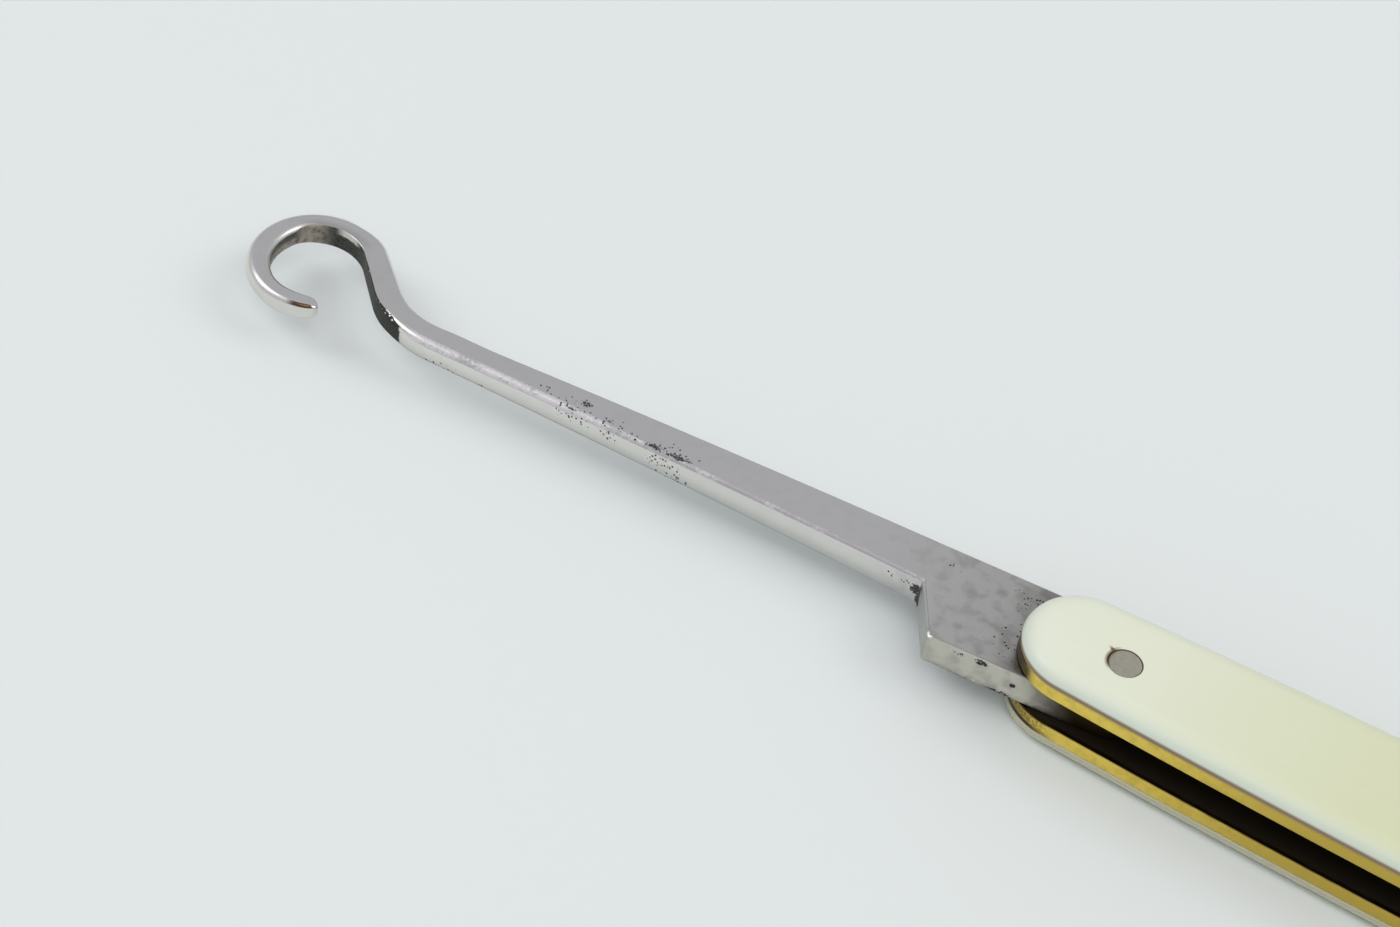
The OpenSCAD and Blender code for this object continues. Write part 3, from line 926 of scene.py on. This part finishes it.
# distance from the pivot, and the part of it along and across a direction given in degrees
def aroundPivot(x, y, degrees):
    dx, dy = x - pivot[0], y - pivot[1]
    c, s = np.cos(np.radians(degrees)), np.sin(np.radians(degrees))
    return (dx.power(2) + dy.power(2)).power(0.5), dx * c + dy * s, dx * s - dy * c


def creamScale(s):
    finish = Finish("polished cream")
    x, y, z = finish.at.axes()
    steep = finish.attribute("slope").size()
    grain = finish.at.moved(scale=(0.12, 2.2, 2.2)).noise(1.0, 4.0)
    cloud = finish.at.noise(0.12, 2.0)
    warm = x.smooth(*s["warmFrom"]) * 0.9 + (cloud - 0.5) * 0.3 + (grain - 0.5) * 0.12
    away, crackAhead, crackBeside = aroundPivot(x, y, s["crackFrom"])
    gapAhead = aroundPivot(x, y, s["gapFrom"])[1]
    crack = (crackBeside + (grain - 0.5) * 0.3).size().smooth(0.12, 0.03) * crackAhead.smooth(1.5, 1.2)
    # painted shade in the clearance round the pivot pin, on one side
    gapShade = away.smooth(1.25, 1.04) * gapAhead.smooth(0.5, 1.0)
    colour = layered(
        warm.colour(s["pale"], s["warm"]),
        # painted reflection: bluish grey round the rounded edge
        (steep.smooth(0.95, 0.3) * 0.85, s["edge"]),
        (steep.smooth(0.22, 0.0), s["foot"]),
        # painted shade on the lower scale's edge, which lies in shadow near the floor
        (z.smooth(pivot[2], pivot[2] - 1.0) * steep.smooth(1.0, 0.8) * 0.85, s["dull"]),
        (crack * crackAhead.smooth(0.7, 1.0) * 0.8 + gapShade * 0.9, s["crack"]))
    return finish.set(baseColor=colour, roughness=0.3 + grain * 0.06, normal=grain.bump(0.05))


pinLook = {
    "face": rgba(0.41, 0.395, 0.335),
    "dark": rgba(0.35, 0.34, 0.285),
    # dark of the painted shade round the pin
    "rim": rgba(0.07, 0.06, 0.045),
    "gapRing": ((0.78, 0.95), (1.5, 1.2)),
    "gapAhead": (0.5, 0.9),
}


def pinMetal(s):
    finish = Finish("dull pin")
    x, y, _ = finish.at.axes()
    steep = finish.attribute("slope").size()
    mottle = finish.at.noise(3.0, 4.0)
    away, ahead = aroundPivot(x, y, creamLook["gapFrom"])[:2]
    gapShade = away.within(*s["gapRing"]) * ahead.smooth(*s["gapAhead"])
    colour = layered(
        mottle.smooth(0.4, 0.75).colour(s["face"], s["dark"]),
        # painted shade: the pin's edge darker, and darker still in the clearance on one side
        (steep.smooth(0.98, 0.7) * 0.35 + gapShade * 0.6, s["rim"]))
    return finish.set(baseColor=colour, metallic=0.6, roughness=0.42 + mottle * 0.1,
                      normal=mottle.bump(0.1))


makeHook(hookSizes, hookSteel(steelLook))
brass = linerBrass(brassLook)
makeLiner("rear_liner", brass)
makeLiner("front_liner", brass)
cream = creamScale(creamLook)
makeScale("rear_scale", (handleSizes["scaleEdge"], handleSizes["scaleFoot"]), cream)
makeScale("front_scale", (handleSizes["scaleFoot"], handleSizes["scaleEdge"]), cream)
makeSpring(springSizes, springSteel(springLook))
dullPin = pinMetal(pinLook)
for pinNode in pinNodes:
    makePin(pinNode, dullPin)
print("pieces made")


# The floor: a pale matt sheet. The sky over it is even and brighter overhead.
stageLook = {
    "half": 1500.0,
    "colour": rgba(0.785, 0.825, 0.825),
    "shade": 0.97,                       # of its darker clouds
    "cloudScale": 0.01,
    "roughness": 0.9,
    "skyLow": 0.54,
    "skyHigh": 0.66,
    "skyFrom": (-0.05, -0.3, 0.95),
    "skyRange": (0.4, 1.0),
    "windows": [(-0.652, -0.199, 0.731), (0.653, 0.22, 0.719), (0.329, -0.47, 0.819)],
    "windowRange": (0.94, 0.98),
    "windowLevel": 1.9,
}


def makeFloor(s):
    finish = Finish("pale floor")
    half = s["half"] / perMetre
    mesh = bpy.data.meshes.new("floor")
    mesh.from_pydata([(-half, -half, 0), (half, -half, 0), (half, half, 0), (-half, half, 0)], [],
                     [(0, 1, 2, 3)])
    floor = bpy.data.objects.new("floor", mesh)
    bpy.context.scene.collection.objects.link(floor)
    pale = s["colour"]
    darker = rgba(*(s["shade"] * c for c in pale[:3]))
    cloud = finish.at.noise(s["cloudScale"], 2.0)
    mesh.materials.append(finish.set(baseColor=cloud.colour(pale, darker), roughness=s["roughness"]))


makeFloor(stageLook)


# level of the sky by direction: smooth step of direction . brightest direction, and three brighter places
def makeWorld(s):
    world = bpy.data.worlds.new("studio")
    bpy.context.scene.world = world
    world.use_nodes = True
    tree = world.node_tree
    ground = tree.nodes["Background"]
    ground.inputs["Color"].default_value = rgba(1.0, 1.0, 1.0)
    ways = Wire(tree, tree.nodes.new("ShaderNodeTexCoord").outputs["Generated"])

    def facing(way):
        return ways.node("ShaderNodeVectorMath", {"operation": "DOT_PRODUCT"},
                         {0: ways, 1: Vector(way).normalized()}, 1)

    level = blend(s["skyLow"], s["skyHigh"], facing(s["skyFrom"]).smooth(*s["skyRange"]))
    for window in s["windows"]:
        level = level + facing(window).smooth(*s["windowRange"]) * s["windowLevel"]
    tree.links.new(level.socket, ground.inputs["Strength"])


makeWorld(stageLook)

# One soft lamp on the left, aimed at the front of the handle.
lampLook = {
    "at": (-397.0, -140.0, 390.0),
    "aim": (-30.0, 0.0, 0.0),
    "wide": 115.0,
    "tall": 400.0,
    "level": 1.0,
}


def makeLamp(s):
    data = bpy.data.lights.new("left", "AREA")
    data.shape = "RECTANGLE"
    data.size, data.size_y = s["wide"] / perMetre, s["tall"] / perMetre
    data.energy = s["level"] * np.pi * data.size * data.size_y
    lamp = bpy.data.objects.new("left", data)
    bpy.context.scene.collection.objects.link(lamp)
    lamp.location = Vector(s["at"]) / perMetre
    lamp.rotation_euler = (Vector(s["aim"]) / perMetre - lamp.location).to_track_quat("-Z", "Y").to_euler()


makeLamp(lampLook)

# The camera: azimuth is anticlockwise from +Y, and roll tips its right side up.
cameraView = {
    "target": (-56.21, 0.40, 4.18),
    "distance": 171.97,
    "azimuth": 21.39,
    "elevation": 46.0,
    "roll": 11.0,
    "lens": 76.11,
    "sensor": 36.0,
    "clipStart": 10.0,
}


def makeCamera(s):
    az, el, roll = (np.radians(s[key]) for key in ("azimuth", "elevation", "roll"))
    ahead = np.array([-np.sin(az) * np.cos(el), np.cos(az) * np.cos(el), -np.sin(el)])
    level = np.array([np.cos(az), np.sin(az), 0.0])
    lift = np.cross(level, ahead)
    right = np.cos(roll) * level + np.sin(roll) * lift
    up = np.cos(roll) * lift - np.sin(roll) * level
    data = bpy.data.cameras.new("camera")
    data.sensor_fit = "HORIZONTAL"
    data.sensor_width = s["sensor"]
    data.lens = s["lens"]
    data.clip_start = s["clipStart"] / perMetre
    camera = bpy.data.objects.new("camera", data)
    bpy.context.scene.collection.objects.link(camera)
    spot = (np.array(s["target"]) - s["distance"] * ahead) / perMetre
    turn = np.eye(4)
    turn[:3, :3] = np.column_stack((right, up, -ahead))
    turn[:3, 3] = spot
    camera.matrix_world = Matrix(turn.tolist())
    bpy.context.scene.camera = camera


makeCamera(cameraView)
bpy.context.scene.view_settings.view_transform = "Standard"
print("stage, light and camera set")

bpy.context.view_layer.update()
